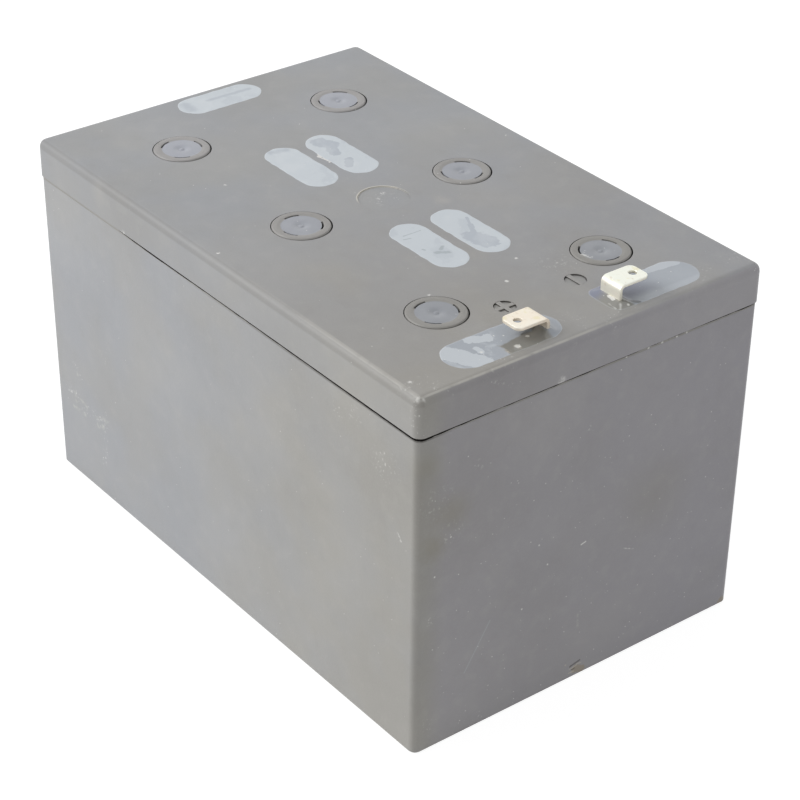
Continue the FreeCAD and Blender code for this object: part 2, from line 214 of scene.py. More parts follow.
FRONT_RUBS = (
    ((-66.2, 24.9), (-66.0, 22.6), 0.9, 0.8, 0.5),
    ((-64.1, 24.2), (-60.7, 23.4), 0.6, 0.8, 0.5),
    ((-67.5, 20.4), (-62.1, 20.4), 0.9, 0.8, 0.6),
    ((-64.5, 32.0), (-64.3, 30.4), 0.8, 0.8, 0.5),
    ((-55.5, 22.5), (-50.5, 24.4), 1.1, 0.8, 0.8),
    ((-55.7, 20.6), (-52.7, 21.2), 1.2, 0.8, 0.8),
)
END_DUST = (
    (-43.0, 66.0, 3.0, 3.0),
    (-39.5, 57.0, 2.5, 2.5),
    (-32.0, 71.7, 1.2, 1.2),
    (-0.7, 68.8, 0.9, 0.9),
    (-29.0, 2.8, 1.4, 1.0),
    (-44.6, 36.0, 1.2, 1.0),
    (-44.3, 7.0, 1.6, 1.4),
)
END_GRIT = ((-14.0, 42.9), (-11.2, 36.5), (-18.2, 27.2), (-39.3, 55.8), (-43.5, 47.1))
END_GOUGES = (
    ((-2.4, 3.5), (0.4, 4.1), 0.35),
    ((-2.0, 2.3), (-0.9, 2.4), 0.2),
)
END_FLAKES = (
    ((-2.6, 2.7), (-0.4, 3.0)),
    ((-0.4, 3.4), (1.0, 3.2)),
    ((-2.8, 1.7), (-1.2, 1.6)),
)
TOP_DUST = (
    (47.8, 11.9, 3.0, 5.0),
    (0.0, 0.0, 2.5, 3.0),
    (-1.0, -20.0, 2.0, 2.0),
)
TOP_CRUST = (
    ((-27.0, 1.1), (-25.4, 1.3), 0.9),
    ((-25.4, 1.2), (-22.8, 1.1), 0.45),
)
GATE_CRUST = ((-2.4, 1.6, 0.5), (-0.8, -1.0, 0.4))
TOP_CRUMBS = ((-27.6, -26.1), (41.1, 6.0), (42.7, -20.1), (48.0, -2.5), (68.9, -45.7), (-0.5, -46.2))
COVER_SMEAR = (
    ((48.6, 18.8, 0.1), (50.8, 19.6, 0.1), 0.6),
    ((47.9, 20.4, 0.1), (48.6, 18.8, 0.1), 0.4),
)
PLUS_CRUMBS = (
    (69.0, -14.3, 0.4, 0.2, 0.4),
    (71.0, -18.8, 0.55, 0.3, 0.6),
    (68.4, -26.4, 0.35, 0.2, 0.4),
    (64.6, -20.0, 0.2, 0.1),
    (65.8, -18.3, 0.2, 0.1),
)
SEAM_CRUMBS = (8.6, 15.1, 19.1, 23.5, 26.5)

# Marks in the resin of the link windows, in plan, as (from, to, half width)
GREY_FILMS = (
    ((19.2, 9.4), (22.5, 7.8), 0.4),
    ((22.5, 7.8), (27.0, 5.6), 0.8),
    ((27.4, 4.8), (31.4, 5.8), 2.9),
    ((-32.8, 5.6), (-30.4, 6.8), 2.6),
    ((-30.4, 6.4), (-26.0, 5.0), 1.6),
    ((-21.2, 5.6), (-18.6, 3.8), 1.3),
)
SOFT_FILMS = (
    ((-35.3, -7.6), (-34.4, -3.6), 1.4),
    ((-70.2, -9.2), (-67.2, -9.4), 2.4),
    ((-69.4, -3.0), (-69.2, 9.5), 1.0),
)
CREASES = (
    ((17.8, -7.9), (17.9, -3.1), 0.25),
    ((19.2, -8.9), (19.6, -7.2), 0.25),
    ((28.4, -6.6), (29.8, -4.4), 1.0),
    ((27.8, -5.0), (26.8, -3.8), 0.6),
    ((25.4, -8.3), (25.9, -8.1), 0.4),
)


class Tree:
    """The nodes of a material or a sky, grown one by one."""

    def __init__(self, owner):
        owner.use_nodes = True
        self.nodes, self.links = owner.node_tree.nodes, owner.node_tree.links

    def feed(self, socket, value):
        if isinstance(value, bpy.types.NodeSocket):
            self.links.new(value, socket)
        else:
            socket.default_value = value

    def add(self, kind, inputs=None, **settings):
        node = self.nodes.new(kind)
        for name, value in settings.items():
            setattr(node, name, value)
        for socket, value in (inputs or {}).items():
            self.feed(node.inputs[socket], value)
        return node

    def math(self, operation, first, second=0.0, clamp=False):
        inputs = {0: first, 1: second}
        return self.add("ShaderNodeMath", inputs, operation=operation, use_clamp=clamp).outputs[0]

    def fold(self, operation, first, *others):
        for other in others:
            first = self.math(operation, first, other)
        return first

    def seen_by(self, *rays):
        """A value that is 1 for those kinds of rays and 0 for light that bounces about."""
        path = self.add("ShaderNodeLightPath")
        return self.fold("MAXIMUM", *(path.outputs[ray] for ray in rays))


class Look(Tree):
    """A surface material; places and sizes are given in millimetres in the part's own frame."""

    def __init__(self, name, metallic=0.0):
        self.material = bpy.data.materials.new(name)
        super().__init__(self.material)
        self.shader = self.nodes["Principled BSDF"]
        self.shader.inputs["Metallic"].default_value = metallic
        metres = self.add("ShaderNodeTexCoord").outputs["Object"]
        self.place = self.times(metres, 1 / MM)
        self.x, self.y, self.z = self.add("ShaderNodeSeparateXYZ", {0: self.place}).outputs
        self.colour = None
        self.fray = None

    def vector(self, operation, first, second=(0.0, 0.0, 0.0), output="Vector"):
        inputs = {0: first, 1: second}
        return self.add("ShaderNodeVectorMath", inputs, operation=operation).outputs[output]

    def times(self, vector, factor):
        return self.add("ShaderNodeVectorMath", {0: vector, "Scale": factor}, operation="SCALE").outputs[0]

    def ramp(self, value, start, end):
        """Rises smoothly from 0 at start to 1 at end; start may be the larger."""
        inputs = {"Value": value, "From Min": start, "From Max": end}
        return self.add("ShaderNodeMapRange", inputs, interpolation_type="SMOOTHSTEP").outputs[0]

    def mix(self, share, first, second):
        node = self.add("ShaderNodeMix", data_type="RGBA")
        for index, value in ((0, share), (6, first), (7, second)):
            self.feed(node.inputs[index], value)
        return node.outputs[2]

    def paint(self, mask, share, tint):
        """Lays a tint over the colour so far, by a share of the mask."""
        self.colour = self.mix(self.math("MULTIPLY", mask, share), self.colour, tint)

    def both(self, *masks):
        return self.fold("MULTIPLY", *masks)

    def either(self, *masks):
        return self.fold("MAXIMUM", *masks)

    def sum(self, *terms):
        return self.fold("ADD", *terms)

    def scaled(self, size, stretch, turn, shift):
        inputs = {"Vector": self.place, "Location": (shift, shift * 0.7, shift * 1.3)}
        inputs["Rotation"] = [math.radians(angle) for angle in turn]
        turned = self.add("ShaderNodeMapping", inputs).outputs[0]
        return self.vector("MULTIPLY", turned, [1 / (size * share) for share in stretch])

    def noise(self, size, detail=3.0, stretch=(1, 1, 1), turn=(0, 0, 0), shift=0.0):
        inputs = {"Vector": self.scaled(size, stretch, turn, shift), "Scale": 1.0, "Detail": detail}
        return self.add("ShaderNodeTexNoise", inputs).outputs[0]

    def cloud(self, size, start, end, **settings):
        """Patches where the noise of that size is over a level."""
        return self.ramp(self.noise(size, **settings), start, end)

    def specks(self, spacing, share, width, stretch=(1, 1, 1), turn=(0, 0, 0), shift=0.0):
        """Dots or dashes of about that share of the spacing, in some of the cells."""
        inputs = {"Vector": self.scaled(spacing, stretch, turn, shift), "Scale": 1.0}
        cells = self.add("ShaderNodeTexVoronoi", inputs)
        draws = self.add("ShaderNodeSeparateColor", {0: cells.outputs["Color"]})
        reach = self.math("MULTIPLY", draws.outputs[1], width)
        near = self.ramp(self.math("DIVIDE", cells.outputs["Distance"], reach), 1.0, 0.4)
        return self.both(near, self.math("LESS_THAN", draws.outputs[0], share))

    def distance(self, point):
        return self.vector("DISTANCE", self.place, point, output="Value")

    def frayed(self, far, ragged):
        """A distance that wanders along the edge of a patch by about that much."""
        if not ragged:
            return far
        if self.fray is None:
            self.fray = self.math("SUBTRACT", self.noise(1.4, shift=17.0), 0.5)
        return self.sum(far, self.both(self.fray, 2 * ragged))

    def spot(self, centre, radius, soft, ragged=0.0):
        """A patch round a point, with a ragged edge if asked."""
        return self.ramp(self.frayed(self.distance(centre), ragged), radius + soft, radius - soft)

    def ring(self, centre, radius, width):
        """A thin circle round a point."""
        aside = self.math("ABSOLUTE", self.math("SUBTRACT", self.distance(centre), radius))
        return self.ramp(aside, width, width * 0.3)

    def streak(self, start, end, width, soft=0.5, ragged=0.0):
        """A line of that half width from one point to another, as a scratch or a smear is.

        Softness is the share of the width that fades out.
        """
        start, end = Vector(start), Vector(end)
        run = end - start
        aside = self.vector("SUBTRACT", self.place, start)
        along = self.vector("DOT_PRODUCT", aside, run, output="Value")
        along = self.math("MULTIPLY", along, 1 / run.length_squared, clamp=True)
        foot = self.times(run, along)
        far = self.vector("DISTANCE", aside, foot, output="Value")
        return self.ramp(self.frayed(far, ragged), width, width * (1 - soft))

    def spots(self, onto, marks, *common):
        """Patches on one face, each mark being a place there and what isn't common to all."""
        return self.either(*(self.spot(onto(*mark[:2]), *mark[2:], *common) for mark in marks))

    def streaks(self, onto, marks, *common):
        """Streaks on one face, each mark being two places there and what isn't common to all."""
        lines = (self.streak(onto(*start), onto(*end), *own, *common) for start, end, *own in marks)
        return self.either(*lines)

    def films(self, marks, soft, ragged):
        """Streaks on the lid's top whose edges are ragged by a share of their width."""
        lines = (
            self.streak(on_top(*start), on_top(*end), width, soft, ragged * width)
            for start, end, width in marks
        )
        return self.either(*lines)

    def attribute(self, name):
        return self.add("ShaderNodeAttribute", attribute_name=name).outputs["Fac"]

    def finish(self, roughness, height, depth):
        """Joins the colour, a roughness and a bump of that depth in millimetres to the shader."""
        self.feed(self.shader.inputs["Base Color"], self.colour)
        self.feed(self.shader.inputs["Roughness"], roughness)
        inputs = {"Height": height, "Distance": depth * MM, "Strength": 1.0}
        self.feed(self.shader.inputs["Normal"], self.add("ShaderNodeBump", inputs).outputs[0])
        return self.material


def face_tones(look):
    """Lays the moulding's grey, warmer by the front corner as painted warm light, paints shade and light on
    the end face, and gives the mask of that end face.
    """
    corner = Vector((lid_high.x, lid_low.y, 0))
    flat = look.vector("MULTIPLY", look.place, (1, 1, 0))
    near_corner = look.ramp(look.vector("DISTANCE", flat, corner, output="Value"), 110, 5)
    # Warmer towards the front corner: painted warm light; the clouds add the plastic's own warm and cool
    # tones.
    warm = look.sum(look.both(near_corner, 0.75), look.both(look.cloud(24, 0.38, 0.66), 0.4))
    look.colour = look.mix(look.math("MINIMUM", warm, 1.0), PLASTIC_COOL, PLASTIC_WARM)
    # The end face painted darker: painted shade.
    end_face = look.both(
        look.ramp(look.x, END_X - 0.8, END_X - 0.35),
        look.ramp(look.y, FRONT_Y + 1.5, FRONT_Y + 9.0),
    )
    look.paint(end_face, 0.8, PLASTIC_END_SHADE)
    # Painted light: the end face paler towards its back.
    far_end = look.both(end_face, look.ramp(look.y, -25.0, 45.0))
    look.paint(far_end, 0.5, tone(157, 155, 162))
    corner_shade = look.both(
        look.ramp(look.x, END_X - 1.8, END_X - 0.7),
        look.ramp(look.y, FRONT_Y + 9.0, FRONT_Y + 2.0),
    )
    look.paint(corner_shade, 0.17, PLASTIC_DARK)
    return end_face


def mottled(look):
    """Paints clouds, grain, smears and stains, and gives the three noises that the finish takes up."""
    clouds = look.noise(34, 2.0, shift=12.0)
    look.paint(look.ramp(clouds, 0.45, 0.75), 0.12, PLASTIC_PALE)
    look.paint(look.ramp(clouds, 0.5, 0.25), 0.12, PLASTIC_DARK)
    grain = look.noise(0.55, 2.0)
    look.paint(look.ramp(grain, 0.4, 0.8), 0.05, PLASTIC_PALE)
    smears = look.cloud(9, 0.58, 0.78, stretch=(4, 1, 1), turn=(0, 0, 35))
    look.paint(smears, 0.08, PLASTIC_PALE)
    stains = look.noise(4.5, 5.0, shift=5.0)
    look.paint(look.ramp(stains, 0.5, 0.72), 0.07, PLASTIC_PALE)
    look.paint(look.ramp(stains, 0.46, 0.28), 0.05, PLASTIC_DARK)
    return clouds, grain, smears


def worn_and_highlit_edges(look):
    """Paints crests and upright corners paler, as wear and as a painted highlight, by the distance in from
    the part's sides.
    """
    below = look.vector("SUBTRACT", look.place, case_low)
    above = look.vector("SUBTRACT", lid_high, look.place)
    inward = look.vector("MINIMUM", below, above)
    in_x, in_y, in_z = look.add("ShaderNodeSeparateXYZ", {0: inward}).outputs
    patchy = look.cloud(5, 0.25, 0.55, shift=9.0)
    crest = look.both(look.ramp(in_z, 0.45, 0.3), patchy)
    front_crest = look.both(crest, look.ramp(in_y, 1.5, 1.2), look.ramp(look.x, 5.0, 60.0))
    look.paint(front_crest, 0.4, PLASTIC_PALE)
    end_crest = look.both(
        crest,
        look.ramp(in_x, 1.5, 1.2),
        look.ramp(look.x, 60.0, 73.0),
        look.ramp(look.y, 24.0, -12.0),
    )
    look.paint(end_crest, 0.7, PLASTIC_PALE)
    upright = look.both(look.ramp(look.either(in_x, in_y), 0.95, 0.62), patchy)
    look.paint(upright, 0.06, PLASTIC_PALE)


def moulded_plastic(look, dusty):
    """Paints the grey moulding, and gives its roughness, height and the mask of its end face, which is
    painted darker as shade.

    Dust lies all over it and is thick in the dusty places.
    """
    end_face = face_tones(look)
    clouds, grain, smears = mottled(look)
    worn_and_highlit_edges(look)
    crumbs = look.either(
        look.specks(0.8, 0.6, 0.34, (1.5, 0.8, 0.8), (0, 40, 20), 3.0),
        look.both(look.cloud(0.8, 0.58, 0.7, shift=3.0), 0.6),
    )
    dust = look.either(
        look.specks(1.6, look.sum(look.both(end_face, 0.2), 0.09), 0.15),
        look.specks(3.2, 0.14, 0.1, (2.6, 0.6, 0.6), (0, 25, 50), 7.0),
        look.both(look.either(*dusty), crumbs),
    )
    look.paint(dust, 0.6, DUST_AND_GLINT)
    roughness = look.sum(look.both(clouds, 0.16), look.both(smears, 0.1), 0.36)
    return roughness, grain, end_face


def case_material():
    look = Look("case_plastic")
    dusty = [
        look.spots(on_front, FRONT_DUST),
        look.streaks(on_front, FRONT_DUST_TRAILS),
        look.spots(on_end, END_DUST),
    ]
    roughness, height, end_face = moulded_plastic(look, dusty)
    scuffs = look.either(
        look.streaks(on_front, FRONT_SCUFFS),
        look.spot(on_front(-51.4, 26.1), 0.4, 0.3),
        look.streak(on_end(12.0, 31.0), on_end(15.5, 29.4), 0.2),
    )
    scuffs = look.both(scuffs, look.cloud(0.9, 0.42, 0.6, detail=2.0))
    look.paint(scuffs, 0.45, DUST_AND_GLINT)
    scratch = look.streak(on_end(-34.4, 16.8), on_end(-27.4, 28.3), 0.18)
    look.paint(scratch, 0.3, tone(190, 200, 204))
    grit = look.either(
        look.streak(on_end(-1.3, 37.7), on_end(0.0, 38.0), 0.25),
        look.spots(on_end, END_GRIT, 0.22, 0.12),
    )
    look.paint(grit, 0.7, DUST_AND_GLINT)
    rubs = look.either(
        look.streaks(on_front, FRONT_RUBS),
        look.streak(on_end(-0.9, 18.0), on_end(-0.9, 14.6), 0.6, 0.9),
    )
    rubs = look.both(rubs, look.cloud(1.1, 0.36, 0.64, shift=6.0))
    look.paint(rubs, 0.34, tone(200, 203, 192))
    smudges = look.either(
        look.spot(on_end(-39.2, 62.0), 4.0, 3.5, 1.5),
        look.spot(on_end(-44.0, 55.0), 3.0, 3.0, 1.5),
        look.both(look.spot(on_end(20.5, 42.0), 7.0, 9.0), 0.6),
        look.spot(on_end(-46.0, 76.0), 2.0, 4.0),
    )
    look.paint(smudges, 0.5, tone(138, 134, 119))
    chips = look.either(
        look.streak(on_end(-0.9, 2.2), on_end(1.2, 1.3), 1.2, 0.3, 0.6),
        look.spot(on_end(46.5, 0.4), 1.5, 0.3, 0.8),
    )
    look.paint(chips, 0.6, tone(152, 138, 112))
    gouges = look.streaks(on_end, END_GOUGES, 0.4, 0.2)
    look.paint(gouges, 0.62, DIRT_AND_SHADE)
    flakes = look.either(
        look.streaks(on_end, END_FLAKES, 0.2, 0.4, 0.1),
        look.spot(on_end(-3.9, 4.6), 0.25, 0.1),
    )
    look.paint(flakes, 0.5, tone(206, 200, 184))
    foot = look.both(look.ramp(look.z, 1.0, 0.3), look.cloud(2.2, 0.35, 0.6, shift=1.0))
    look.paint(look.both(foot, end_face), 0.35, DIRT_AND_SHADE)
    # A dark band on the case just under the seam towards the front corner: painted shade that widens the
    # seam's dark line.
    by_seam = look.ramp(look.z, SEAM_TOP - 1.25, SEAM_TOP - 0.9)
    seam_shade = look.both(by_seam, look.ramp(look.x, -30.0, 60.0), look.ramp(look.y, -38.0, -46.0))
    look.paint(seam_shade, 0.6, DIRT_AND_SHADE)
    dents = look.either(scuffs, chips, gouges)
    height = look.math("SUBTRACT", height, look.both(dents, 1.2))
    return look.finish(roughness, height, PLASTIC_GRAIN)


def painted_lid_light_and_shade(look, end_face, depth):
    """Paints light and shade into the lid's colour: on its end, its top and its front, and shade on the slope
    under its crest.
    """
    # Painted shade on the end towards the front, painted light towards its back.
    shade = look.both(end_face, look.ramp(look.y, 5.0, -35.0))
    look.paint(shade, 0.16, PLASTIC_DARK)
    far_end = look.both(end_face, look.ramp(look.y, 5.0, 40.0))
    look.paint(far_end, 0.12, PLASTIC_PALE)
    # Painted shade, darker and browner, on the top towards the front and on the front towards the far end.
    top = look.ramp(look.z, LID_TOP - 0.3, LID_TOP - 0.1)
    near_top = look.both(top, look.ramp(look.x, -30.0, 30.0))
    look.paint(near_top, 0.075, tone(112, 92, 84))
    front = look.ramp(look.y, lid_low.y + 0.6, lid_low.y + 0.2)
    far_front = look.both(front, look.ramp(look.x, 70.0, -10.0))
    look.paint(far_front, 0.1, PLASTIC_DARK)
    # Painted shade on the slope under the front crest, except where the crest is painted pale.
    near_crest = look.both(look.ramp(depth, 0.5, 0.3), look.ramp(look.x, 10.0, 55.0))
    slope = look.both(
        look.ramp(depth, 0.03, 0.2),
        look.ramp(depth, 2.4, 1.7),
        look.ramp(look.y, lid_low.y + 2.0, lid_low.y + 1.4),
        look.math("SUBTRACT", 1.0, near_crest),
    )
    look.paint(slope, 0.26, PLASTIC_DARK)


def recess_dirt_and_shade(look, depth):
    """Paints dirt and painted shade on what is sunk in the lid's top, but not on the signs' bases, the gate
    or the edge.
    """
    inside = look.both(
        look.ramp(look.math("ABSOLUTE", look.x), lid_high.x - 2.6, lid_high.x - 3.4),
        look.ramp(look.math("ABSOLUTE", look.y), lid_high.y - 2.6, lid_high.y - 3.4),
        look.ramp(look.distance(on_top(0, 0)), 6.5, 6.8),
    )
    walls = look.both(look.ramp(depth, 0.05, 0.12), look.ramp(depth, SIGN_BASE - 0.01, SIGN_BASE - 0.05))
    sunk = look.either(walls, look.ramp(depth, SIGN_BASE + 0.02, SIGN_BASE + 0.1))
    look.paint(look.both(inside, sunk), 0.85, DIRT_AND_SHADE)


def lid_material():
    look = Look("lid_plastic")
    dusty = [
        look.both(
            look.ramp(look.x, 64.0, 73.0),
            look.ramp(look.z, LID_TOP - 2.4, LID_TOP - 0.8),
            look.cloud(7, 0.5, 0.64),
        ),
        look.streak((lid_high.x, -30.5, 91.8), (lid_high.x, -24.4, 88.6), 1.0, 1.0),
        look.spots(on_top, TOP_DUST),
        look.streak((74.5, -48.0, 92.0), (74.5, -48.0, 85.0), 2.0),
    ]
    roughness, height, end_face = moulded_plastic(look, dusty)
    depth = look.math("SUBTRACT", LID_TOP, look.z)
    painted_lid_light_and_shade(look, end_face, depth)
    scuffed = look.either(
        look.spot(on_top(74.6, -48.0, -0.6), 0.5, 0.4, 0.5),
        look.spot(on_top(75.2, -47.2, -0.6), 0.4, 0.4, 0.5),
        look.spot((lid_high.x, -10.1, SEAM_TOP + 0.3), 0.9, 0.4, 0.8),
        look.spot((-36.8, lid_low.y, SEAM_TOP + 0.2), 0.5, 0.3, 0.4),
    )
    scuffed = look.both(scuffed, look.cloud(0.8, 0.3, 0.6, shift=2.0))
    look.paint(scuffed, 0.55, DUST_AND_GLINT)
    smudges = look.either(
        look.spot(on_top(9.2, 10.3), 1.6, 1.6, 1.0),
        look.both(look.spot((-47.0, lid_low.y, 89.6), 2.2, 2.2, 1.0), 0.5),
    )
    look.paint(smudges, 0.25, tone(196, 191, 180))
    recess_dirt_and_shade(look, depth)
    # The gate's rim painted pale: a painted highlight on its left side, and painted light over its shaded
    # wall elsewhere.
    gate_lit_side = look.either(
        look.both(look.ramp(look.x, -0.5, -3.5), 0.7),
        look.both(look.ramp(look.x, 3.0, -1.0), look.ramp(look.y, 1.0, 4.0), 0.3),
    )
    gate = look.both(look.ring(on_top(0, 0), 6.25, 0.32), gate_lit_side)
    look.paint(gate, 1.0, tone(222, 218, 206))
    crust = look.either(
        look.streaks(on_top, TOP_CRUST, 0.3, 0.5),
        look.spots(on_top, GATE_CRUST, 0.3, 0.5),
        look.spots(on_top, TOP_CRUMBS, 0.4, 0.2, 0.5),
    )
    crust = look.both(crust, look.cloud(0.7, 0.36, 0.5, shift=4.0))
    look.paint(crust, 0.8, tone(240, 239, 236))
    height = look.sum(height, look.both(crust, 2.0))
    return look.finish(roughness, height, PLASTIC_GRAIN)


def cover_material():
    """Covers: ring like the lid, bluish smooth face, both painted paler towards the back as painted light."""
    look = Look("vent_plastic")
    disc = look.ramp(look.attribute("disc"), 0.75, 0.95)
    clouds = look.noise(7)
    painted_light_to_back = look.ramp(look.x, 60.0, -60.0)
    ring = look.mix(painted_light_to_back, tone(147, 145, 141), tone(161, 159, 158))
    worn = look.both(look.ramp(clouds, 0.55, 0.3), 0.12)
    ring = look.mix(worn, ring, PLASTIC_DARK)
    face = look.mix(painted_light_to_back, tone(146, 149, 155), tone(166, 169, 178))
    pale = look.both(look.ramp(clouds, 0.45, 0.7), 0.2)
    face = look.mix(pale, face, tone(178, 181, 186))
    look.colour = look.mix(disc, ring, face)
    smear = look.both(look.streaks(on_top, COVER_SMEAR, 0.4, 0.4), look.cloud(0.7, 0.4, 0.52))
    dust = look.either(look.specks(1.2, 0.2, 0.18), smear)
    look.paint(dust, 0.6, DUST_AND_GLINT)
    grain = look.noise(0.5)
    roughness = look.math("SUBTRACT", 0.46, look.both(disc, 0.14))
    height = look.both(grain, look.math("SUBTRACT", 1.2, disc))
    return look.finish(roughness, height, PLASTIC_GRAIN)


def cast_resin(look, roughness, ripple, dusty):
    """Finish of set resin: a paler rim that is partly a painted highlight on the lip, a share of dust and a
    slow ripple.
    """
    look.paint(look.attribute("rim"), 0.3, RESIN_PALE)
    look.paint(look.specks(1.1, dusty, 0.22), 0.7, DUST_AND_GLINT)
    height = look.sum(look.noise(2.6, shift=8.0), look.both(look.noise(0.6), 0.15))
    return look.finish(roughness, height, ripple)


def link_resin():
    """Milky resin with greyer films that folded as it set, and creases."""
    look = Look("link_resin")
    clouds = look.noise(5, 3.0, (1.6, 1, 1), (0, 0, 30))
    films = look.either(
        look.films(GREY_FILMS, 0.2, 0.5),
        look.both(look.films(SOFT_FILMS, 0.9, 0.4), 0.8),
        look.both(look.ramp(clouds, 0.56, 0.66), 0.35),
    )
    look.colour = look.mix(look.both(films, 0.85), RESIN_MILKY, RESIN_GREY)
    look.paint(look.ramp(clouds, 0.48, 0.3), 0.3, RESIN_PALE)
    look.paint(look.films(CREASES, 0.7, 0.9), 0.45, RESIN_CREASE)
    roughness = look.sum(look.both(films, 0.1), 0.32)
    return cast_resin(look, roughness, 0.06, 0.1)


def positive_resin():
    """Milky at the outer end, clear and grey in front of the blade, bluish behind its leg."""
    look = Look("positive_resin")
    clouds = look.noise(4.5, shift=7.0)
    milky = look.either(
        look.films([((64.6, -32.4), (71.6, -28.9), 2.9)], 0.15, 0.35),
        look.films([((63.0, -25.4), (64.6, -21.4), 1.5)], 0.2, 0.9),
        look.films([((66.6, -26.2), (68.4, -26.4), 0.9)], 0.3, 0.9),
        look.both(look.ramp(clouds, 0.52, 0.64), 0.5),
    )
    milky = look.both(milky, look.ramp(look.y, -18.5, -20.5))
    look.colour = look.mix(milky, RESIN_BLUE, tone(199, 205, 211))
    fray = look.both(look.math("SUBTRACT", clouds, 0.5), 3.0)
    clear = look.both(
        look.ramp(look.sum(look.y, fray), -22.3, -21.7),
        look.ramp(look.sum(look.x, look.both(look.y, 0.12), fray), 65.5, 66.1),
        look.ramp(look.y, plus_high.y - 0.4, plus_high.y - 1.6),
    )
    look.paint(clear, 1.0, RESIN_CLEAR)
    crumbs = look.either(
        look.spots(on_top, PLUS_CRUMBS),
        look.spot(on_top(70.1, -9.1, 0.6), 0.35, 0.2),
    )
    look.paint(crumbs, 0.75, DUST_AND_GLINT)
    roughness = look.math("SUBTRACT", 0.26, look.both(clear, 0.14))
    return cast_resin(look, roughness, 0.05, 0.3)


def negative_resin():
    """Clear in a lump round the leg, with bluish painted shadow under the blade, a facet at the outer end
    painted pale as light, and painted glints on the lump.
    """
    look = Look("negative_resin")
    clouds = look.noise(4.5, shift=5.0)
    # The facet at the outer end is painted paler as light falling on it; the front edge and clouds are paler
    # too.
    facet = look.films([((62.6, 25.6), (63.4, 33.0), 1.5)], 0.1, 0.3)
    front = look.both(look.ramp(look.x, 69.5, 71.5), look.ramp(look.y, 15.0, 18.0))
    pale = look.either(facet, look.both(front, 0.45), look.both(clouds, 0.3))
    look.colour = look.mix(pale, RESIN_BLUE, tone(194, 200, 207))
    # Bluish painted shadow of the blade on the resin under it.
    under = look.both(look.ramp(look.y, 27.0, 15.0), look.ramp(look.x, 71.5, 68.5))
    look.paint(under, 0.95, tone(130, 134, 151))
    clear = look.both(
        look.ramp(look.sum(look.y, look.both(clouds, 2.0)), 14.6, 13.4),
        look.ramp(look.x, 64.0, 67.5),
    )
    look.paint(clear, 1.0, RESIN_CLEAR)
    # A dark patch on the lump beside the blade: painted shadow and reflection of the blade.
    dark = look.streak(on_top(70.4, 12.9, 0.3), on_top(72.2, 14.4), 0.8, 0.5, 0.3)
    look.paint(dark, 0.6, tone(74, 73, 70))
    # Painted highlights on the glossy lump.
    glints = look.either(
        look.streak(on_top(67.5, 10.1, 0.8), on_top(69.0, 10.0, 0.8), 0.5, 0.3, 0.4),
        look.both(look.streak(on_top(71.3, 9.9, 0.5), on_top(72.8, 8.6), 0.5, 0.8, 0.5), 0.7),
        look.both(look.streak(on_top(69.0, 8.6), on_top(71.6, 8.4), 0.25, 0.8, 0.5), 0.5),
        look.spot(on_top(72.0, 11.6, 0.2), 0.3, 0.2, 0.3),
    )
    look.paint(glints, 0.8, DUST_AND_GLINT)
    roughness = look.math("SUBTRACT", 0.24, look.both(clear, 0.16))
    return cast_resin(look, roughness, 0.04, 0.4)


def tinned_material():
    """Tinned blade, nearly white, with yellow flux stains and pinkish tarnish on the positive one's edges."""
    look = Look("tinned_metal", 0.45)
    clouds = look.noise(3.4, 4.0)
    positive = look.ramp(look.y, 4.0, -4.0)
    look.colour = look.mix(positive, tone(253, 255, 243), tone(253, 243, 225))
    look.paint(look.ramp(clouds, 0.4, 0.7), 0.5, tone(255, 253, 242))
    flux = look.either(
        look.cloud(2.6, 0.6, 0.74, shift=6.0),
        look.spot((69.0, plus_high.y - 2.6, plus_high.z), 0.7, 0.4, 0.5),
        look.spot((64.9, plus_high.y - 8.2, plus_high.z), 0.6, 0.5, 0.5),
    )
    look.paint(flux, 0.45, tone(240, 230, 176))
    tarnish = look.cloud(1.1, 0.58, 0.76, detail=4.0, shift=3.0)
    top = look.sum(look.both(positive, plus_high.z - minus_high.z), minus_high.z)
    side = look.both(look.ramp(look.math("SUBTRACT", top, look.z), 0.1, 0.35), 0.55)
    leg = look.both(look.ramp(look.z, LID_TOP + 2.4, LID_TOP + 0.8), 0.5)
    look.paint(look.either(tarnish, side, leg), 0.4, tone(206, 178, 150))
    roughness = look.sum(look.both(clouds, 0.2), 0.28)
    return look.finish(roughness, look.noise(0.7), 0.05)


def worn_material(name, dark, light, roughness, grain, metallic=0.0):
    """A hidden piece's own material: mottled, with a grain."""
    look = Look(name, metallic)
    mottle = look.noise(6, 4.0)
    fine = look.noise(grain)
    look.colour = look.mix(look.ramp(mottle, 0.3, 0.7), dark, light)
    look.paint(fine, 0.3, light)
    rough = look.sum(look.both(mottle, 0.2), roughness)
    return look.finish(rough, fine, 0.1)


def adhesive_material():
    """Glue in the seam: grey where it is flush, and painted nearly black as shade where the gap stands open.
    """
    look = Look("seam_adhesive")
    filled = look.attribute("filled")
    grain = look.noise(0.9)
    # Nearly black inside the open gap: painted shade.
    dark = look.mix(grain, tone(14, 11, 9), tone(30, 24, 20))
    light = look.mix(grain, tone(142, 140, 136), tone(166, 164, 159))
    look.colour = look.mix(look.ramp(filled, 0.55, 0.95), dark, light)
    crumbs = [look.spot((END_X, y, SEAM_TOP - 0.6), 0.25, 0.2, 0.3) for y in SEAM_CRUMBS]
    crumbs = look.both(look.either(look.specks(0.8, 0.35, 0.4), *crumbs), filled)
    look.paint(crumbs, 0.7, DUST_AND_GLINT)
    return look.finish(look.sum(grain, 0.25), grain, 0.06)


def dress(material, *names):
    for name in names:
        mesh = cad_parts[name].data
        mesh.materials.clear()
        mesh.materials.append(material)


def numbered(name):
    return [node for node in sorted(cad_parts) if node.rstrip("0123456789") == name + "_"]


def put_in_scene(name, data):
    thing = bpy.data.objects.new(name, data)
    bpy.context.scene.collection.objects.link(thing)
    return thing


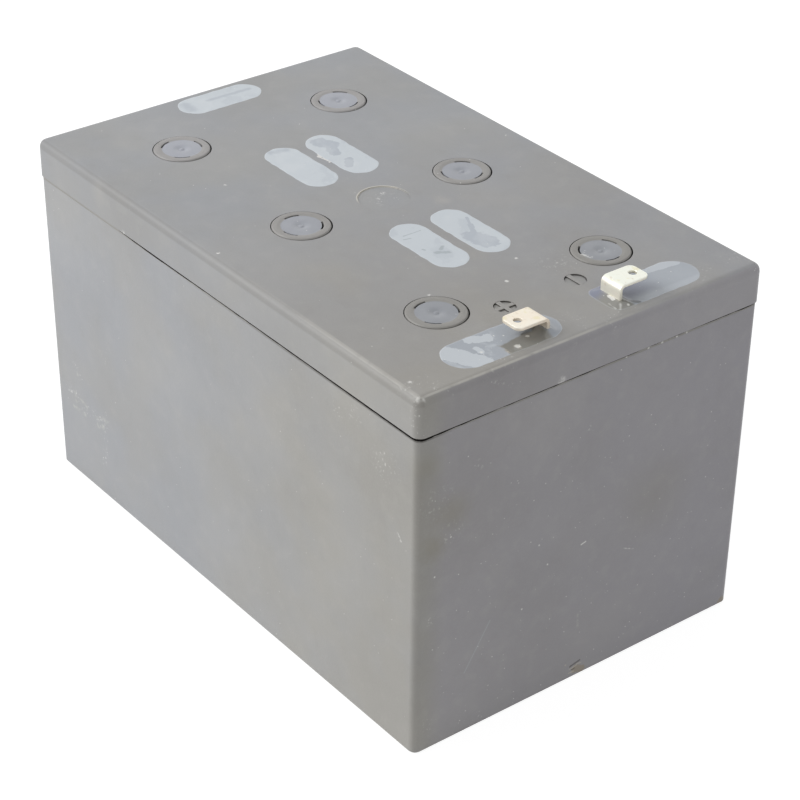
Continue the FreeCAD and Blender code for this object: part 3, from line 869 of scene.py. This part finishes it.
def band(count, lower, upper):
    """Quads between two loops of that many points, given the number of each loop's first point."""
    pairs = [(k, (k + 1) % count) for k in range(count)]
    return [(lower + k, lower + after, upper + after, upper + k) for k, after in pairs]


def add_piece(name, slot, material, vertices, faces, sharp=35.0, **attributes):
    """A mesh piece given in millimetres, riding on the part, with smooth shading between its sharp edges."""
    mesh = bpy.data.meshes.new(name)
    mesh.from_pydata([Vector(vertex) * MM for vertex in vertices], [], faces)
    shape = bmesh.new()
    shape.from_mesh(mesh)
    bmesh.ops.recalc_face_normals(shape, faces=shape.faces)
    shape.to_mesh(mesh)
    shape.free()
    for label, values in attributes.items():
        mesh.attributes.new(label, "FLOAT", "POINT").data.foreach_set("value", values)
    mesh.shade_smooth()
    mesh.set_sharp_from_angle(angle=math.radians(sharp))
    mesh.materials.append(material)
    piece = put_in_scene(name, mesh)
    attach(piece, "root")
    return piece


def islands(node):
    """Lowest and highest corners, in millimetres, of each separate solid in a node, in order of place."""
    shape = bmesh.new()
    shape.from_mesh(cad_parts[node].data)
    bmesh.ops.remove_doubles(shape, verts=shape.verts, dist=WELD)
    boxes = []
    unseen = set(shape.verts)
    while unseen:
        front = [unseen.pop()]
        corners = []
        while front:
            vertex = front.pop()
            corners.append(vertex.co / MM)
            for edge in vertex.link_edges:
                other = edge.other_vert(vertex)
                if other in unseen:
                    unseen.remove(other)
                    front.append(other)
        corners = np.array(corners)
        boxes.append((Vector(corners.min(0)), Vector(corners.max(0))))
    shape.free()
    return sorted(boxes, key=lambda box: (round(box[0].x, 1), round(box[0].y, 1)))


def vent_cover(name, low, high, turn, material):
    """A round cover with a dished face, a dimple and three curved slots right through it."""
    middle, radius = (low + high) / 2, (high.x - low.x) / 2
    middle.x += COVER_SHIFT
    seat = low.z - high.z
    top = [*COVER_PROFILE, (radius - COVER_RIM, -0.02), (radius, -COVER_RIM)]
    bottom = [(radius, seat), (SLOT_OUTER, seat), (SLOT_INNER, seat)]
    stations = top + bottom
    inner_top = [station[0] for station in top].index(SLOT_INNER)
    outer_top = inner_top + 1
    outer_bottom, inner_bottom = len(stations) - 2, len(stations) - 1
    step = 2 * math.pi / COVER_STEPS
    vertices, disc = [], []
    for reach, rise in stations:
        for k in range(COVER_STEPS):
            angle = k * step + math.radians(turn - COVER_SLOT_ARC / 2)
            x, y = middle.x + reach * math.cos(angle), middle.y + reach * math.sin(angle)
            vertices.append((x, y, high.z + rise))
            disc.append(1.0 if reach <= SLOT_INNER else 0.0)
    crown, sole = len(vertices), len(vertices) + 1
    vertices += [(middle.x, middle.y, high.z + COVER_PROFILE[0][1]), (middle.x, middle.y, low.z)]
    disc += [1.0, 0.0]

    def at(station, k):
        return station * COVER_STEPS + k % COVER_STEPS

    slot_steps = COVER_SLOT_ARC * COVER_STEPS // 360
    starts = [index * COVER_STEPS // COVER_SLOTS for index in range(COVER_SLOTS)]
    open_steps = {start + k for start in starts for k in range(slot_steps)}
    faces = []
    for k in range(COVER_STEPS):
        faces.append((crown, at(0, k), at(0, k + 1)))
        faces.append((sole, at(inner_bottom, k + 1), at(inner_bottom, k)))
        for station in range(len(stations) - 1):
            if k in open_steps and station in (inner_top, outer_bottom):
                continue
            faces.append((at(station, k), at(station + 1, k), at(station + 1, k + 1), at(station, k + 1)))
        if k in open_steps:
            for upper, lower in ((inner_top, inner_bottom), (outer_top, outer_bottom)):
                faces.append((at(upper, k), at(upper, k + 1), at(lower, k + 1), at(lower, k)))
    for start in starts:
        for k in (start, start + slot_steps):
            faces.append((at(inner_top, k), at(outer_top, k), at(outer_bottom, k), at(inner_bottom, k)))
    piece = add_piece(name, "vent_plastic", material, vertices, faces, disc=disc)
    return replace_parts(piece, "vent_covers")


def slot_outline(low, high, low_corner, high_corner, steps=36):
    """Points round a slot that fills a box, with the nearest point of its middle line to each.

    A corner power of 2 makes that end round, and a higher one squares it.
    """
    size = high - low
    along = 0 if size.x > size.y else 1
    half_width, half_length = size[1 - along] / 2, size[along] / 2
    reach = half_length - half_width
    middle = (low + high) / 2
    loop = []
    for end, power in ((1, high_corner), (-1, low_corner)):
        for k in range(steps + 1):
            angle = math.pi * (k / steps - 0.5)
            bulge = abs(math.cos(angle)) ** power + abs(math.sin(angle)) ** power
            out = half_width * bulge ** (-1 / power)
            loop.append((end * (reach + out * math.cos(angle)), end * out * math.sin(angle), end * reach))
        for k in range(1, steps):
            run = end * reach * (1 - 2 * k / steps)
            loop.append((run, end * half_width, run))
    points, feet = [], []
    for run, side, foot in loop:
        point, base = Vector((0, 0)), Vector((0, 0))
        point[along], point[1 - along] = run, side if along == 0 else -side
        base[along] = foot
        points.append(middle.xy + point)
        feet.append(middle.xy + base)
    return points, feet


def swell(spot, low, high, reach, rise):
    """How high the resin has crept at a point, round a leg that fills that box in plan."""
    aside = [max(low[i] - spot[i], 0.0, spot[i] - high[i]) for i in (0, 1)]
    return rise * math.exp(-((math.hypot(*aside) / reach) ** 2))


def resin_skin(name, low, high, material, seed, low_corner=2.0, high_corner=2.0, lump=None):
    """The set surface of a poured well: a shallow hollow, a thin ragged lip and a lump round a leg."""
    points, feet = slot_outline(low, high, low_corner, high_corner)
    count = len(points)
    edge = []
    for point, foot in zip(points, feet):
        wander = SKIN_WANDER * noise.noise(Vector((point.x * WANDER_RATE, point.y * WANDER_RATE, seed)))
        edge.append(point + (point - foot).normalized() * (SKIN_SPREAD + wander))
    rings = list(SKIN_LIP)
    brink, brink_height = SKIN_LIP[-1]
    for k in range(1, SKIN_STEPS + 1):
        inward = k / (SKIN_STEPS + 1)
        rings.append((brink * (1 - inward), brink_height - SKIN_HOLLOW * (1 - (1 - inward) ** 2)))
    vertices, rim = [], []
    for share, rise in rings:
        for point, foot in zip(edge, feet):
            spot = foot + (point - foot) * share
            wave = noise.noise(Vector((spot.x * RIPPLE_RATE, spot.y * RIPPLE_RATE, seed + RIPPLE_SEED)))
            ripple = SKIN_RIPPLE * (1 - share) * wave
            crept = swell(spot, *lump) if lump else 0.0
            height = LID_TOP + rise + ripple + crept * (1 - share ** LUMP_FADE)
            vertices.append((spot.x, spot.y, height))
            rim.append(1.0 if share > SKIN_RIM else 0.0)
    for point, foot in zip(edge, feet):
        spot = foot + (point - foot) * brink
        vertices.append((spot.x, spot.y, LID_TOP + SKIN_FOOT))
        rim.append(0.0)
    last = len(rings)
    faces = band(count, 0, last * count)
    for ring in range(last - 1):
        faces += band(count, ring * count, (ring + 1) * count)
    faces.append(tuple((last - 1) * count + k for k in range(count)))
    faces.append(tuple(last * count + k for k in range(count)))
    return add_piece(name, "potting_resin", material, vertices, faces, sharp=50.0, rim=rim)


def bar_outline(reach, half):
    return [(-reach, -half), (reach, -half), (reach, half), (-reach, half)]


def cross_outline(reach, half):
    arm = [(half, -half), (reach, -half), (reach, half)]
    turns = ((1, 0), (0, 1), (-1, 0), (0, -1))
    return [(x * c - y * s, x * s + y * c) for c, s in turns for x, y in arm]


def raised_sign(name, centre, outline, material):
    """A sign moulded up from the base of its recess to the lid's level, with softened top edges."""
    foot, brow, top = LID_TOP - SIGN_BASE - SINK, LID_TOP - SIGN_EDGE, LID_TOP - SIGN_DROP
    vertices = []
    for inset, height in ((0.0, foot), (0.0, brow), (SIGN_EDGE, top)):
        loop = outline(SIGN_RADIUS - inset, SIGN_BAR / 2 - inset)
        vertices += [(centre[0] + x, centre[1] + y, height) for x, y in loop]
    count = len(loop)
    faces = [tuple(range(count)), tuple(range(2 * count, 3 * count))]
    faces += band(count, 0, count) + band(count, count, 2 * count)
    return add_piece(name, "lid_plastic", material, vertices, faces, sharp=20.0)


def sign_base(name, centre, material, steps=48):
    """The round base that a sign stands on, a little smaller than its recess."""
    vertices = []
    reach = SIGN_RADIUS - SIGN_PLAY
    for height in (LID_TOP - SIGN_DEPTH - SINK, LID_TOP - SIGN_BASE):
        for k in range(steps):
            angle = 2 * math.pi * k / steps
            x, y = centre[0] + reach * math.cos(angle), centre[1] + reach * math.sin(angle)
            vertices.append((x, y, height))
    faces = [tuple(range(steps)), tuple(range(steps, 2 * steps)), *band(steps, 0, steps)]
    return add_piece(name, "lid_plastic", material, vertices, faces)


def rounded_loop(half_x, half_y, corner, spacing, steps=6):
    """Places and outward directions round a rectangle with rounded corners."""
    loop = []
    corners = ((1, -1, -90), (1, 1, 0), (-1, 1, 90), (-1, -1, 180))
    for index, (x, y, start) in enumerate(corners):
        middle = Vector((x * (half_x - corner), y * (half_y - corner)))
        for k in range(steps + 1):
            angle = math.radians(start + 90 * k / steps)
            out = Vector((math.cos(angle), math.sin(angle)))
            loop.append((middle + out * corner, out))
        across, up = corners[(index + 1) % 4][:2]
        following = Vector((across * (half_x - corner), up * (half_y - corner)))
        last, out = loop[-1]
        run = following + out * corner - last
        pieces = int(run.length / spacing)
        loop += [(last + run * (k / pieces), out) for k in range(1, pieces)]
    return loop


def seam_opening(place):
    """Share of the seam's height that stands open there; the glue fills the rest flush."""
    crumbs = noise.noise(Vector((place.x * GLUE_RATE, place.y * GLUE_RATE, GLUE_SEED)))
    if place.y < FRONT_BELOW_Y:
        level = np.interp(place.x, *zip(*FRONT_OPENING)) + 0.1 * crumbs
    elif place.x > END_BEYOND_X:
        level = np.interp(place.y, *zip(*END_OPENING)) + 0.2 * crumbs
    else:
        level = 0.5 + 0.35 * crumbs
    return min(MOST_OPEN, max(LEAST_OPEN, level))


def seam_adhesive(material):
    """The glue line between case and lid: flush below, with an open line of varying height above it."""
    overhang = lid_high.x - case_high.x
    flush, back, root = (overhang + depth for depth in GLUE_DEPTHS)
    top, bottom = SEAM_TOP + SINK, SEAM_TOP - SEAM_GAP - SINK
    vertices, filled = [], []
    loop = rounded_loop(lid_high.x, lid_high.y, LID_CORNER, GLUE_SPACING)
    for place, out in loop:
        brim = SEAM_TOP - SEAM_GAP * seam_opening(place)
        section = (
            (flush, bottom, 1.0),
            (flush, brim, 1.0),
            (flush + 0.02, brim - 0.01, 0.0),
            (back, brim - 0.03, 0.0),
            (back, top, 0.0),
            (root, top, 0.0),
            (root, bottom, 0.0),
        )
        for depth, height, share in section:
            spot = place - out * depth
            vertices.append((spot.x, spot.y, height))
            filled.append(share)
    faces = []
    count, sides = len(loop), len(section)
    for k in range(count):
        after = (k + 1) % count
        for side in range(sides):
            beside = (side + 1) % sides
            quad = ((k, side), (k, beside), (after, beside), (after, side))
            faces.append(tuple(station * sides + corner for station, corner in quad))
    return add_piece("seam_adhesive", "case_plastic", material, vertices, faces, filled=filled)


def soften_edges(node):
    """Rounds a stamped blade's edges, over its welded flat faces."""
    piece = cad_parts[node]
    weld = piece.modifiers.new("weld", "WELD")
    weld.merge_threshold = WELD
    flats = piece.modifiers.new("flats", "DECIMATE")
    flats.decimate_type = "DISSOLVE"
    flats.angle_limit = math.radians(FLAT_WITHIN)
    bevel = piece.modifiers.new("soft_edges", "BEVEL")
    bevel.width = BLADE_EDGE * MM
    bevel.segments = BLADE_EDGE_STEPS
    bevel.limit_method = "ANGLE"
    bevel.angle_limit = math.radians(SHARP_BEYOND)
    bevel.harden_normals = False


def studio():
    """A sky that looks white but lights less, and one large soft lamp up to the camera's left."""
    world = bpy.data.worlds.new("studio")
    bpy.context.scene.world = world
    tree = Tree(world)
    seen = tree.seen_by("Is Camera Ray", "Is Glossy Ray", "Is Transmission Ray")
    level = tree.add("ShaderNodeMapRange", {"Value": seen, "To Min": FILL_LIGHT, "To Max": 1.0})
    sky = tree.nodes["Background"]
    tree.feed(sky.inputs["Color"], (1.0, 1.0, 1.0, 1.0))
    tree.feed(sky.inputs["Strength"], level.outputs[0])

    lamp = bpy.data.lights.new("key", "AREA")
    lamp.shape = "SQUARE"
    lamp.size = KEY_SIZE * MM
    lamp.energy = KEY_POWER
    key = put_in_scene("key", lamp)
    key.location = Vector(KEY_PLACE) * MM
    aim = Vector((0, 0, AIM_HEIGHT)) * MM
    key.rotation_euler = (aim - key.location).to_track_quat("-Z", "Y").to_euler()


def floor_material():
    """A floor that glows white where it is seen, with hardly a shadow, and is matte to light that bounces."""
    material = bpy.data.materials.new("studio_floor")
    tree = Tree(material)
    tree.nodes.clear()
    seen = tree.seen_by("Is Camera Ray", "Is Glossy Ray")
    matte = tree.add("ShaderNodeBsdfDiffuse", {"Color": FLOOR_MATTE})
    thin = tree.add("ShaderNodeBsdfDiffuse", {"Color": FLOOR_THIN})
    glow = tree.add("ShaderNodeEmission", {"Strength": FLOOR_GLOW})
    lit = tree.add("ShaderNodeAddShader", {0: thin.outputs[0], 1: glow.outputs[0]})
    choice = tree.add("ShaderNodeMixShader", {0: seen, 1: matte.outputs[0], 2: lit.outputs[0]})
    tree.add("ShaderNodeOutputMaterial", {"Surface": choice.outputs[0]})
    return material


def floor():
    half = FLOOR_HALF * MM
    mesh = bpy.data.meshes.new("studio_floor")
    corners = [(x * half, y * half, -FLOOR_DROP * MM) for x, y in ((-1, -1), (1, -1), (1, 1), (-1, 1))]
    mesh.from_pydata(corners, [], [(0, 1, 2, 3)])
    mesh.materials.append(floor_material())
    ground = put_in_scene("studio_floor", mesh)


def camera():
    azimuth, elevation, roll = (math.radians(angle) for angle in (AZIMUTH, ELEVATION, ROLL))
    flat = math.cos(elevation)
    back = Vector((math.sin(azimuth) * flat, -math.cos(azimuth) * flat, math.sin(elevation)))
    right = Vector((math.cos(azimuth), math.sin(azimuth), 0))
    up = back.cross(right)
    right, up = (
        right * math.cos(roll) + up * math.sin(roll),
        up * math.cos(roll) - right * math.sin(roll),
    )
    place = back * DISTANCE + right * SIDESTEP + up * LIFT + Vector((0, 0, AIM_HEIGHT))
    lens = bpy.data.cameras.new("camera")
    lens.sensor_fit = "HORIZONTAL"
    lens.sensor_width = SENSOR
    lens.lens = LENS
    lens.clip_start = 0.01
    viewer = put_in_scene("camera", lens)
    viewer.matrix_world = Matrix.Translation(place * MM) @ Matrix((right, up, back)).transposed().to_4x4()
    bpy.context.scene.camera = viewer


def build():
    grey_case, grey_lid, cover = case_material(), lid_material(), cover_material()
    milky, by_plus, by_minus = link_resin(), positive_resin(), negative_resin()
    tinned = tinned_material()
    lead = worn_material("grey_lead", tone(92, 94, 98), tone(128, 130, 134), 0.45, 0.9, 0.8)
    positive = worn_material("lead_dioxide", tone(74, 56, 46), tone(104, 80, 66), 0.7, 0.6)
    negative = worn_material("sponge_lead", tone(98, 100, 103), tone(126, 128, 130), 0.65, 0.6, 0.3)
    mat = worn_material("glass_mat", tone(214, 214, 208), tone(236, 236, 232), 0.85, 0.4)
    rubber = worn_material("valve_rubber", tone(28, 28, 29), tone(48, 48, 50), 0.6, 0.4)

    dress(grey_case, "case")
    dress(grey_lid, "lid")
    dress(cover, "vent_covers")
    dress(rubber, "valve_discs")
    dress(milky, "link_potting")
    dress(by_plus, "positive_terminal_potting")
    dress(by_minus, "negative_terminal_potting")
    dress(tinned, "positive_terminal", "negative_terminal")
    dress(positive, *numbered("positive_plates"))
    dress(negative, *numbered("negative_plates"))
    dress(mat, *numbered("separators"))
    dress(lead, *numbered("cell_link"))

    for index, ((low, high), turn) in enumerate(zip(islands("vent_covers"), COVER_TURNS)):
        vent_cover(f"vent_cover_{index + 1}", low, high, turn, cover)
    for index, (low, high) in enumerate(islands("link_potting")):
        resin_skin(f"link_resin_skin_{index + 1}", low, high, milky, index * 3.1)
    low, high = (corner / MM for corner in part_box("positive_terminal_potting"))
    leg_low, leg_high = (plus_low.x, plus_high.y - BLADE_THICKNESS), (plus_high.x, plus_high.y)
    lump = (leg_low, leg_high, *PLUS_LUMP)
    resin_skin("positive_resin_skin", low, high, by_plus, 21.0, lump=lump)
    low, high = (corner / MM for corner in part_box("negative_terminal_potting"))
    leg_low, leg_high = (minus_low.x, minus_low.y), (minus_high.x, minus_low.y + BLADE_THICKNESS)
    lump = (leg_low, leg_high, *MINUS_LUMP)
    resin_skin("negative_resin_skin", low, high, by_minus, 27.0, low_corner=SQUARE_END, lump=lump)

    for sign, side, outline in (("plus_sign", -1, cross_outline), ("minus_sign", 1, bar_outline)):
        centre = (sign_x, side * SIGN_OFFSET)
        raised_sign(sign, centre, outline, grey_lid)
        sign_base(sign + "_base", centre, grey_lid)
    seam_adhesive(adhesive_material())
    for node in ("positive_terminal", "negative_terminal"):
        soften_edges(node)


build()
studio()
floor()
camera()
bpy.context.scene.view_settings.view_transform = "Standard"
